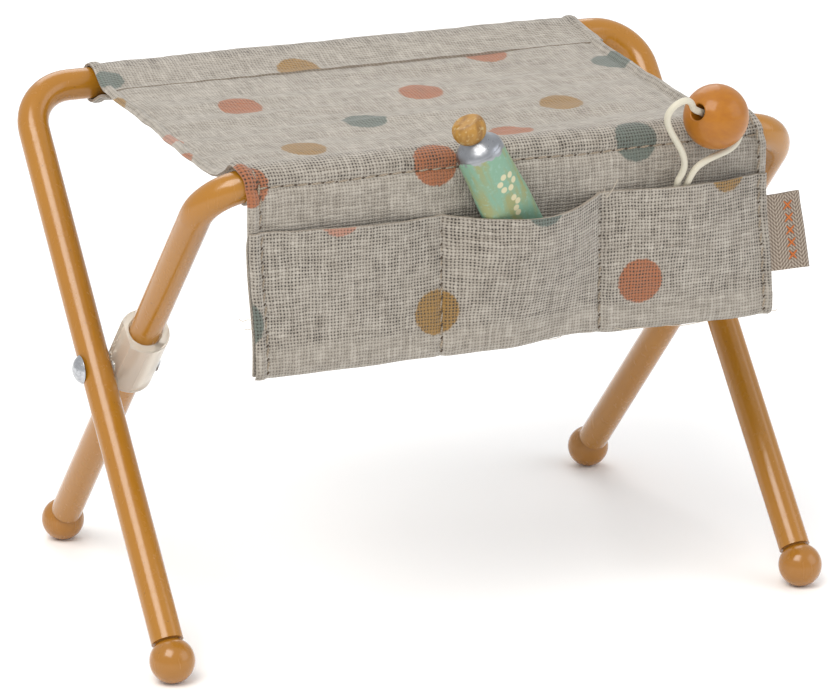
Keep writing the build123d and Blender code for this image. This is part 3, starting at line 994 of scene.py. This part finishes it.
@dataclass
class RearCasing:
    """The rear end of the cloth: turned round the rear bar and sewn down over the sling."""

    corners: tuple[tuple[float, float], ...] = (
        *((33.6, 93.72), (36.5, 94.35), (39.5, 95.35), (42.0, 96.15), (44.3, 96.42), (46.5, 95.5)),
        *((47.75, 93.2), (47.4, 90.9), (45.8, 89.35), (43.2, 89.1), (40.6, 90.1), (37.5, 91.4), (34.3, 92.2)),
    )
    sewn_at: float = 1.3  # the seam's distance from the lip, mm

    def __post_init__(self) -> None:
        """Works out the side line."""
        self.profile = Profile(self.corners)

    def place(self, x: float, s: float) -> Vector:
        """Where the casing's outer face is, its lip raised over the sling's end.

        Args:
            x: the place across the cloth, in mm.
            s: the length up it, in mm.

        Returns:
            The place on the table, in mm.
        """
        point, normal = self.profile.at(s)
        lift = 0.12 * drift(x * 0.3, s * 0.3, 31.0)
        lift += 0.28 * drift(x * 0.045, s * 0.12, 33.0) * smooth(0, 3, s)
        lift += 0.6 * (hem_ridge(x - CLOTH_LEFT) + hem_ridge(CLOTH_RIGHT - x))
        lift -= 0.22 * hump(s, self.sewn_at, 0.5)
        uneven = 0.3 * drift(x * 0.25, 7.0, 35.0) * (1 - smooth(0, 3, s))
        narrow = towards_sides(x) * (0.7 if x < 0 else -1.3) * smooth(2, 9, s)
        return Vector((x + narrow, point.x + normal.x * lift + uneven, point.y + normal.y * lift))

    def build(self) -> None:
        """Builds the casing."""
        dots = (
            Dot(-49.8, 3.6, Ink.TEAL, 3.2),
            Dot(-11.7, 0.9, Ink.MUSTARD),
            Dot(33.0, self.profile.length * 0.62, Ink.PINK),
            Dot(-30.0, self.profile.length * 0.55, Ink.TERRACOTTA),
            Dot(8.0, self.profile.length * 0.50, Ink.TEAL),
        )
        cut = Sheet("rear_casing_cloth", self.place, Vector((0, 1, 0)), self.profile.length)
        piece = cut.build(PrintedLinen("linen_casing_printed", dots, ((-1.0, 8.0),)).material())
        settle(piece, "rear_frame", "linen", "rear_casing")


@dataclass
class PocketStrip:
    """The strip sewn over the flap's lower part, divided into three pockets."""

    left: float = CLOTH_LEFT
    right: float = 53.0
    dividers: tuple[float, float] = (-14.4, 17.2)
    bottom: float = 57.75
    mouth: float = 84.3
    depths: tuple[float, float, float] = (1.5, 7.3, 2.8)
    face: float = FLAP_FACE - 0.72

    def bow(self, x: float, z: float) -> float:
        """Says how far the strip stands off its seams.

        Args:
            x: the place across the strip, in mm.
            z: the height on the table, in mm.

        Returns:
            The distance, in mm.
        """
        edges = (self.left + 2.5, *self.dividers, self.right - 1.9)
        opened = 0.12 + 0.88 * smooth(self.bottom + 1, self.mouth - 4, z) ** 0.75
        for x0, x1, depth in zip(edges, edges[1:], self.depths):
            if x0 <= x <= x1:
                return depth * opened * math.sin(math.pi * (x - x0) / (x1 - x0)) ** 1.15
        return 0.0

    def place(self, x: float, s: float) -> Vector:
        """Where the strip's outer face is, at x and at length s up from its bottom.

        Args:
            x: the place across the cloth, in mm.
            s: the length up it, in mm.

        Returns:
            The place on the table, in mm.
        """
        z = self.bottom + s
        out = self.bow(x, z)
        for seam in self.dividers:
            out -= 0.34 * hump(x, seam, 0.6)
            out -= 0.30 * hump(x, seam, 1.3) * math.cos(math.pi * s / STITCH) ** 2
            out += 0.16 * hump(abs(x - seam), 1.3, 0.7)
        out += hem_ridge(x - self.left, 2.5) + hem_ridge(self.right - x, 1.9)
        out -= 0.5 * (1 - smooth(0, 1.0, s))
        out += 0.16 * (1 - smooth(4.2, 4.9, s)) * smooth(0.6, 1.4, s)  # the turned-up bottom
        out += 0.10 * (1 - smooth(1.2, 1.8, self.mouth - z))  # the folded mouth
        out += 0.10 * drift(x * 0.33, s * 0.33, 41.0)
        out += 0.22 * drift(x * 0.09, s * 0.11, 43.0) * smooth(2, 8, s)
        # the middle pocket's mouth dips, and the side pockets' rise to the corners
        first, second = self.dividers
        across_middle = min(1.0, max(0.0, (x - first) / (second - first)))
        z -= 0.35 * math.sin(math.pi * across_middle) * smooth(18, 26, s)
        z += (1.15 * smooth(10, 21, x) + 0.6 * (1 - smooth(-48, -20, x))) * smooth(5, 26, s)
        z += 0.20 * drift(x * 0.15, 0.0, 47.0) * smooth(20, 27, s)
        z += TOP_CLOTH.bottom_shift(x) * (1 - smooth(0.0, 14.0, s))
        return Vector((x + towards_sides(x) * TOP_CLOTH.edge_shift(x, s), self.face - out, z))

    def dot(self, x: float, z: float, ink: Ink) -> Dot:
        """A dot at its place on the table."""
        return Dot(x, z - self.bottom, ink)

    def build(self) -> None:
        """Builds the strip."""
        dots = (
            self.dot(-34.9, 87.0, Ink.PINK),
            self.dot(-15.6, 66.4, Ink.MUSTARD),
            self.dot(25.0, 67.5, Ink.TERRACOTTA),
            self.dot(43.2, 86.3, Ink.MUSTARD),
            self.dot(-54.3, 68.3, Ink.TEAL),
            self.dot(2.9, 86.9, Ink.TEAL),
        )
        cut = Sheet(
            "pocket_strip",
            self.place,
            Vector((0, -1, 0)),
            self.mouth - self.bottom,
            left=self.left,
            right=self.right,
            cell=0.8,
        )
        piece = cut.build(PrintedLinen("linen_pocket_printed", dots, ((-2.0, 5.5),)).material())
        settle(piece, "front_frame", "linen", "pocket_left", "pocket_middle", "pocket_right")


@dataclass
class SeamTag:
    """A loop of herringbone tape caught in the right side seam, with small cross-stitches."""

    left: float = 50.6
    fold: float = 59.4
    bottom: float = 66.2
    top: float = 80.8
    front: float = -39.95
    crosses_at: float = 55.7
    cross_heights: tuple[float, ...] = (68.9, 71.3, 73.7, 76.1, 78.5)
    arm: float = 0.9

    def place(self, x: float, s: float) -> Vector:
        """Where the tape's face is: x runs out to the fold and back behind, s up the tape.

        Args:
            x: the place across the cloth, in mm.
            s: the length up it, in mm.

        Returns:
            The place on the table, in mm.
        """
        reach = self.fold - self.left
        out = x if x <= reach else 2 * reach - x
        up = s / (self.top - self.bottom)
        side = math.cos(math.pi * smooth(reach - 0.5, reach + 0.5, x))
        y = self.front - 0.30 * side + 0.25 * drift(out * 0.2, s * 0.2, 51.0)
        z = self.bottom + s + 0.35 * (out / reach) - 0.04 * out * (1 - up)
        lean = 1.6 * (1 - up) - 1.1 * up * (out / reach)
        return Vector((self.left + out + lean, y, z))

    def build(self) -> None:
        """Builds the tape and sews a row of orange crosses down its face."""
        around = 2 * (self.fold - self.left)
        height = self.top - self.bottom
        cut = Sheet(
            "seam_tag_tape",
            self.place,
            Vector((1, 0, 0)),
            height,
            left=0.0,
            right=around,
            cell=0.5,
            thickness=0.22,
        )
        tape = cut.build(HerringboneTape("tag_tape_herringbone").material())
        settle(tape, "front_frame", "tag_tape", "seam_tag")
        bm = bmesh.new()
        for cross_height in self.cross_heights:
            middle = self.place(self.crosses_at - self.left, cross_height - self.bottom)
            middle += Vector((0.2, -0.03, 0))
            for sign in (-1, 1):
                arm = Vector((self.arm, 0, sign * self.arm))
                add_stitch(bm, middle - arm, middle + arm, 0.2)
        floss = Yarn("orange_floss", "#D07A3A", "#A9581F", 0.4).material()
        settle(new_piece("tag_cross_stitches", bm, floss), "front_frame", "tag_tape")


# Stitches -----------------------------------------------------------------------------------
def add_stitch(bm: bmesh.types.BMesh, a: Vector, b: Vector, radius: float) -> None:
    """Adds one sewn stitch, a small spindle of thread, to a bmesh.

    Args:
        bm: the mesh that collects the stitches, in metres.
        a: one end, in mm.
        b: the other end, in mm.
        radius: the thread's radius, in mm.
    """
    run = b - a
    turn = run.to_track_quat("Z", "Y").to_matrix().to_4x4()
    shape = Matrix.Diagonal((radius * MM, radius * MM, run.length / 2 * MM, 1))
    lay = Matrix.Translation((a + b) / 2 * MM) @ turn @ shape
    bmesh.ops.create_uvsphere(bm, u_segments=7, v_segments=5, radius=1.0, matrix=lay)


@dataclass
class Sewing:
    """All the seams' stitches, as real little threads lying in the cloth, with painted shadow in their needle holes.
    """

    gap: float = 0.1  # share of a stitch's step that its hole takes at each end
    thread: float = 0.21
    needle: float = 0.19
    wander: float = 0.18
    slant: float = 0.24
    sides: tuple[float, float] = (-49.4, 51.2)

    def __post_init__(self) -> None:
        """Starts the two meshes that collect the stitches and the dark spindles of painted shadow in the needle
        holes between them.
        """
        self.stitches, self.holes = bmesh.new(), bmesh.new()

    def row(
        self, face: Callable[[float], Vector], low: float, high: float, side: Vector = Vector((1, 0, 0))
    ) -> None:
        """Sews one row along a face.

        Args:
            face: the cloth's face at a length along the row.
            low: where the row starts.
            high: where it ends.
            side: the direction across the row, in which it wanders and slants.
        """
        count = max(1, round((high - low) / STITCH))
        for k in range(count):
            a, b = (face(low + (high - low) * (k + share) / count) for share in (self.gap, 1 - self.gap))
            shift = side * self.wander * drift(k * 0.9, low, 61.0)
            slant = side * self.slant
            run = (b - a).normalized()
            add_stitch(self.stitches, a + shift - slant, b + shift + slant, self.thread)
            # a dark spindle at each needle hole, painted shadow where the thread goes into the cloth
            pierced = a + shift - run * self.gap * STITCH
            add_stitch(self.holes, pierced - run * 0.3 - slant, pierced + run * 0.3 + slant, self.needle)

    def build(self, strip: PocketStrip, cloth: TopCloth) -> None:
        """Sews the pocket strip, the flap's sides and the seam along the crease.

        Args:
            strip: the pocket strip.
            cloth: the flap's cloth.
        """
        proud = Vector((0, -0.06, 0))
        for x in (self.sides[0], *strip.dividers, self.sides[1]):
            self.row(lambda s, x=x: strip.place(x, s) + proud, 1.2, strip.mouth - strip.bottom - 0.4)
        start, stop = cloth.profile.nearest(FLAP_FACE, 85.6), cloth.profile.nearest(-37.6, 96.2)
        for x in self.sides:
            self.row(lambda s, x=x: cloth.place(x, s) + proud, start, stop)
        self.row(lambda x: cloth.place(x, cloth.seam(x)) + proud, -50.0, 51.5, side=Vector((0, 0, 0.4)))
        thread = Yarn("sewing_thread_spun", "#B3A797", "#7D705F", 0.5).material()
        shadow = Yarn("needle_hole_shadow", "#6B5E50", "#43382E", 0.5, 1.0).material()
        settle(new_piece("flap_stitches", self.stitches, thread), "front_frame", "linen")
        settle(new_piece("needle_hole_shadows", self.holes, shadow), "front_frame", "linen")


@dataclass
class LooseThreads:
    """Thread ends left where a seam was cut off short, and fluff along the cut edges."""

    thickness: float = 0.14
    ends: tuple[tuple[tuple[float, float, float], ...], ...] = (
        ((18.1, -41.0, 84.4), (18.7, -41.6, 85.6), (19.5, -41.3, 86.6), (20.1, -41.2, 87.6)),
        ((17.9, -41.0, 84.6), (17.3, -41.7, 85.4), (17.0, -41.9, 86.3)),
        ((52.4, -40.3, 58.9), (53.4, -40.5, 58.2), (54.1, -40.3, 58.6)),
        ((-50.9, -40.2, 69.0), (-52.0, -40.4, 69.4), (-52.9, -40.3, 68.9), (-53.5, -40.2, 69.6)),
        ((-50.9, -40.2, 67.6), (-51.9, -40.5, 67.2), (-52.6, -40.4, 67.7)),
        ((20.0, -40.5, 59.3), (22.0, -40.8, 58.5), (25.0, -40.7, 58.8), (27.5, -40.5, 58.4)),
        ((30.0, -40.5, 58.5), (33.0, -40.8, 58.0), (36.5, -40.6, 58.0), (39.5, -40.5, 58.3)),
        ((5.0, -40.5, 58.9), (7.5, -40.9, 58.3), (9.5, -40.5, 58.8)),
    )

    def build(self) -> None:
        """Builds the loose ends as one curve piece."""
        fluff = Yarn("flax_fluff", "#D8CFC2", "#AFA392", 0.4).material()
        made = new_cords("loose_threads", self.ends, self.thickness, fluff)
        made.data.bevel_resolution = 1
        settle(made, "front_frame", "linen")


# Tube of cream ------------------------------------------------------------------------------
Rows = Sequence[tuple[float, float, float]]


@dataclass
class CreamTube:
    """A small foil tube, its body painted green by hand, with a knobbed gold cap. A row is a
    height above the shoulder, a half width and a half depth, in mm."""

    shoulder: Vector = field(default_factory=lambda: Vector((-9.1, -44.342, 97.0)))
    up: Vector = field(default_factory=lambda: Vector((-0.46454, -0.08889, 0.88108)))
    wide: Vector = field(default_factory=lambda: Vector((0.88458, 0.0, 0.46639)))
    body_rows: Rows = (
        *((-23.5, 5.2, 0.35), (-23.2, 5.35, 0.55), (-21.3, 5.35, 0.62), (-20.6, 5.3, 0.85)),
        *((-16.0, 5.15, 1.9), (-12.0, 5.0, 2.75), (-8.2, 4.8, 3.4), (-5.0, 4.65, 3.95), (-2.0, 4.5, 4.3)),
        *((-0.7, 4.44, 4.38), (0.1, 4.33, 4.28), (0.3, 4.0, 3.97)),
    )
    shoulder_rows: Rows = (
        *((-0.25, 4.3, 4.24), (0.1, 4.35, 4.3), (0.4, 4.25, 4.21), (0.8, 3.97, 3.95), (1.2, 3.56, 3.55)),
        *((1.65, 3.03, 3.03), (2.05, 2.5, 2.5), (2.4, 2.1, 2.1), (2.6, 1.95, 1.95)),
    )
    cap_radii: tuple[tuple[float, float], ...] = (
        *((2.45, 1.9), (2.5, 2.25), (2.9, 2.6), (3.5, 2.92), (4.2, 3.1), (4.8, 3.12), (5.3, 3.03)),
        *((5.7, 2.86), (6.0, 2.62), (6.15, 2.4), (6.18, 2.2), (6.08, 1.7), (6.08, 1.0), (6.08, 0.5)),
    )
    chip: Vector = field(default_factory=lambda: Vector((-2.4, 0.5, 6.1)))

    def __post_init__(self) -> None:
        """Works out the turned frame that the tube is built in."""
        deep = self.up.cross(self.wide).normalized()
        self.frame = Matrix.Translation(self.shoulder * MM) @ Matrix(
            [[self.wide[i], deep[i], self.up[i]] for i in range(3)]
        ).to_4x4()

    def rings(
        self, name: str, rows: Rows, finish: Finish, dents: float, slot: str, node: str
    ) -> bpy.types.Object:
        """Draws a circle out into a shell through a list of rings.

        Args:
            name: the piece's name.
            rows: its rings.
            finish: its finish.
            dents: how far its surface is pushed in and out, in mm.
            slot: the record's material slot, handed on to settle.
            node: the CAD node that it stands for.

        Returns:
            The closed piece, in its place.
        """
        bm = bmesh.new()
        height, wide, deep = rows[0]
        bmesh.ops.create_circle(bm, cap_ends=True, segments=48, radius=MM)
        bmesh.ops.scale(bm, vec=(wide, deep, 1), verts=bm.verts)
        bmesh.ops.translate(bm, vec=(0, 0, height * MM), verts=bm.verts)
        rim = bm.edges[:]
        for (z0, w0, d0), (z1, w1, d1) in zip(rows, rows[1:]):
            drawn = bmesh.ops.extrude_edge_only(bm, edges=rim)["geom"]
            ring = [part for part in drawn if isinstance(part, bmesh.types.BMVert)]
            rim = [part for part in drawn if isinstance(part, bmesh.types.BMEdge)]
            bmesh.ops.scale(bm, vec=(w1 / w0, d1 / d0, 1), verts=ring)
            bmesh.ops.translate(bm, vec=(0, 0, (z1 - z0) * MM), verts=ring)
        bmesh.ops.contextual_create(bm, geom=rim)
        bmesh.ops.transform(bm, matrix=self.frame, verts=bm.verts)
        bmesh.ops.recalc_face_normals(bm, faces=bm.faces)
        bm.normal_update()
        for vert in bm.verts:
            vert.co += vert.normal * dents * MM * noise.noise(vert.co / MM * 0.45)
        piece = new_piece(name, bm, finish.material())
        settle(piece, "cream_tube", slot, node)
        return piece

    def dab(self, across: float, down: float) -> Vector:
        """Finds the place of a painted dab on the front of the body.

        Args:
            across: how far it is from the body's middle, in mm.
            down: how far it is below the shoulder, in mm.

        Returns:
            The place on the table, in mm.
        """
        for (z0, w0, d0), (z1, w1, d1) in zip(self.body_rows, self.body_rows[1:]):
            if z0 <= -down <= z1:
                t = (-down - z0) / (z1 - z0)
                wide, deep = w0 + (w1 - w0) * t, d0 + (d1 - d0) * t
                break
        front = -deep * math.sqrt(max(0.0, 1 - (across / wide) ** 2))
        return (self.frame @ Vector((across * MM, front * MM, -down * MM))) / MM

    def build(self) -> None:
        """Builds body, shoulder and cap."""
        petals = (k * math.tau / 6 + 0.3 for k in range(6))
        flower = [self.dab(1.1 + 1.5 * math.cos(turn), 6.9 + 1.5 * math.sin(turn)) for turn in petals]
        stem = [self.dab(1.2 + 0.5 * math.sin(k * 1.9), 10.6 + 1.15 * k) for k in range(4)]
        green = BrushedPaint(
            "green_hobby_paint_brushed",
            "#769B84",
            "#8B9062",
            "#84A695",
            (*flower, *stem),
            bare_from_mm=self.shoulder.dot(self.up) - 0.7,
            lay=self.up.copy(),
        )
        foil = Metal("tube_foil_rubbed", "#9DA0A4", 0.24, 0.5, 0.8)
        gold = BrushedPaint("gold_hobby_paint_dry", "#A0762F", "#80591E", "#BBA878")
        cap_rows = [(height, radius, radius) for height, radius in self.cap_radii]
        self.rings("cream_body", self.body_rows, green, 0.16, "cream_tube_paint", "cream_tube_body")
        dish = self.shoulder_rows
        self.rings("cream_shoulder", dish, foil, 0.10, "cream_tube_metal", "cream_tube_shoulder")
        cap = self.rings("cream_cap", cap_rows, gold, 0.07, "cap_paint", "cream_tube_cap")
        # a chip out of the cap's rim
        chip = (self.frame @ (self.chip * MM)) / MM
        for vert in cap.data.vertices:
            near = (vert.co / MM - chip).length
            vert.co -= self.up * MM * 1.1 * (1 - smooth(0.45, 0.85, near))


# Bead and cord ------------------------------------------------------------------------------
@dataclass
class BeadCord:
    """The waxed cord that comes up out of the right pocket, through the bead and down again."""

    diameter: float = 1.24
    length: float = 70.9
    route: tuple[tuple[float, float, float], ...] = (
        *((32.3, -41.1, 81.2), (32.1, -41.2, 83.5), (31.8, -41.9, 86.1), (32.4, -43.0, 88.1)),
        *((32.2, -44.1, 90.1), (31.0, -45.4, 92.6), (29.1, -46.6, 95.1), (26.9, -48.2, 97.8)),
        *((25.5, -49.6, 100.1), (25.5, -50.6, 102.0), (26.8, -51.2, 103.5), (28.8, -50.9, 103.9)),
        *((30.6, -49.6, 102.7), (31.97, -47.41, 100.68), (43.95, -42.00, 96.15), (44.5, -42.2, 94.1)),
        *((42.6, -43.9, 92.4), (40.2, -44.7, 91.6), (38.2, -44.8, 91.1), (36.2, -44.6, 90.3)),
        *((34.6, -44.2, 89.2), (33.9, -43.4, 87.6), (33.8, -42.1, 85.7), (33.4, -41.2, 83.6)),
        (33.3, -41.1, 81.2),
    )

    def build(self) -> None:
        wax = Yarn("waxed_cord", "#C6C2B2", "#CAC4B2", 0.3, 0.45).material()
        made = new_cords("bead_cord_line", (self.route,), self.diameter, wax)
        made.data.bevel_resolution = 5
        made.data.resolution_u = 8
        settle(made, "bead_cord", "cord_yarn", "toy_cord")


# Frame, feet, rivets ------------------------------------------------------------------------
@dataclass
class TubeFrames:
    """The CAD's own hard pieces, which keep their shape and get their finish."""

    bead_turn: float = math.radians(204.3)  # the way the bead's hole points, round and up
    bead_tilt: float = math.radians(19.0)

    def dress(self) -> None:
        """Assigns a finish to every CAD node that stays."""
        level = math.cos(self.bead_tilt)
        across, back = level * math.cos(self.bead_turn), level * math.sin(self.bead_turn)
        hole = Vector((across, back, math.sin(self.bead_tilt)))
        finishes = (
            (Enamel("ochre_enamel_tube", "#A5701B", "#9B6618"), ("front_frame_tube", "rear_frame_tube")),
            (
                Enamel("ochre_enamel_ball", "#A16D20", "#97621B", 0.2),
                ("rear_foot_left", "rear_foot_right", "front_foot_left", "front_foot_right"),
            ),
            (ClearVinyl("clear_vinyl_extruded"), ("spacer_sleeve_left", "spacer_sleeve_right")),
            (
                Metal("rivet_nickel_plated", "#D3D5D8", 0.12, 0.34, 0.5),
                ("pivot_rivet_left", "pivot_rivet_right"),
            ),
            (LacqueredWood("beech_bead_lacquered", hole), ("bead",)),
            (Yarn("waxed_cord_knot", "#C6C2B2", "#CAC4B2", 0.3, 0.45), ("toy_knot",)),
        )
        for finish, nodes in finishes:
            material = finish.material()
            for name in nodes:
                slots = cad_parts[name].data.materials
                slots.clear()
                slots.append(material)
                log.info("%s: %s", name, material.name)


# Studio -------------------------------------------------------------------------------------
@dataclass
class Studio:
    """A pale floor, large soft lights and the camera."""

    eye: Vector = field(default_factory=lambda: Vector((-0.3267, -0.7452, 0.3030)))
    aim: Vector = field(default_factory=lambda: Vector((0.001357, 0.0053, 0.04382)))
    roll: float = math.radians(0.239)
    lens: float = 191.8

    def camera(self) -> None:
        """Sets up the camera."""
        data = bpy.data.cameras.new("camera")
        data.sensor_width = 36.0
        data.lens = self.lens
        data.clip_start = 0.05
        data.clip_end = 50.0
        made = add_object("camera", data)
        look = (self.aim - self.eye).to_track_quat("-Z", "Y").to_matrix().to_4x4()
        made.matrix_world = Matrix.Translation(self.eye) @ look @ Matrix.Rotation(self.roll, 4, "Z")
        bpy.context.scene.camera = made

    def lamp(self, name: str, place: Vector, size: float, watts: float, colour: str) -> None:
        """Hangs one square soft light that faces the table.

        Args:
            name: the light's name.
            place: its middle, in metres.
            size: its side, in metres.
            watts: its power.
            colour: its colour, as sRGB hex.
        """
        data = bpy.data.lights.new(name, "AREA")
        data.shape = "SQUARE"
        data.size = size
        data.energy = watts
        data.color = linear(colour)[:3]
        turn = (Vector((0, 0, 0.05)) - place).to_track_quat("-Z", "Y").to_matrix().to_4x4()
        add_object(name, data).matrix_world = Matrix.Translation(place) @ turn

    def build(self) -> None:
        """Lays the floor and hangs the lights."""
        bm = bmesh.new()
        bmesh.ops.create_grid(bm, x_segments=2, y_segments=2, size=4.0)
        paper, world = bpy.data.materials.new("studio_paper"), bpy.data.worlds.new("studio_air")
        for made, node, values in (
            (paper, "Principled BSDF", {"Base Color": linear("#FFFFFF"), "Roughness": 0.9}),
            (world, "Background", {"Color": linear("#FFFFFF"), "Strength": 0.78}),
        ):
            made.use_nodes = True
            fill_sockets(made.node_tree, made.node_tree.nodes[node], values)
        new_piece("studio_floor", bm, paper)
        bpy.context.scene.world = world
        self.lamp("key_softbox", Vector((-0.55, -0.45, 1.0)), 0.7, 9.0, "#FFFAF3")
        self.lamp("fill_softbox", Vector((0.9, -0.7, 0.6)), 0.9, 3.2, "#F6F8FF")
        self.lamp("back_softbox", Vector((0.2, 0.9, 0.9)), 0.8, 3.6, "#FFFFFF")


def main() -> None:
    """Builds everything in order and reports each piece."""
    bpy.context.scene.view_settings.view_transform = "Standard"
    studio = Studio()
    studio.camera()
    BeadCord().build()
    TubeFrames().dress()
    TOP_CLOTH.build()
    FrontTunnel().build()
    RearCasing().build()
    strip = PocketStrip()
    strip.build()
    SeamTag().build()
    Sewing().build(strip, TOP_CLOTH)
    LooseThreads().build()
    CreamTube().build()
    studio.build()
    bpy.context.view_layer.update()


if __name__ == "__main__":
    main()
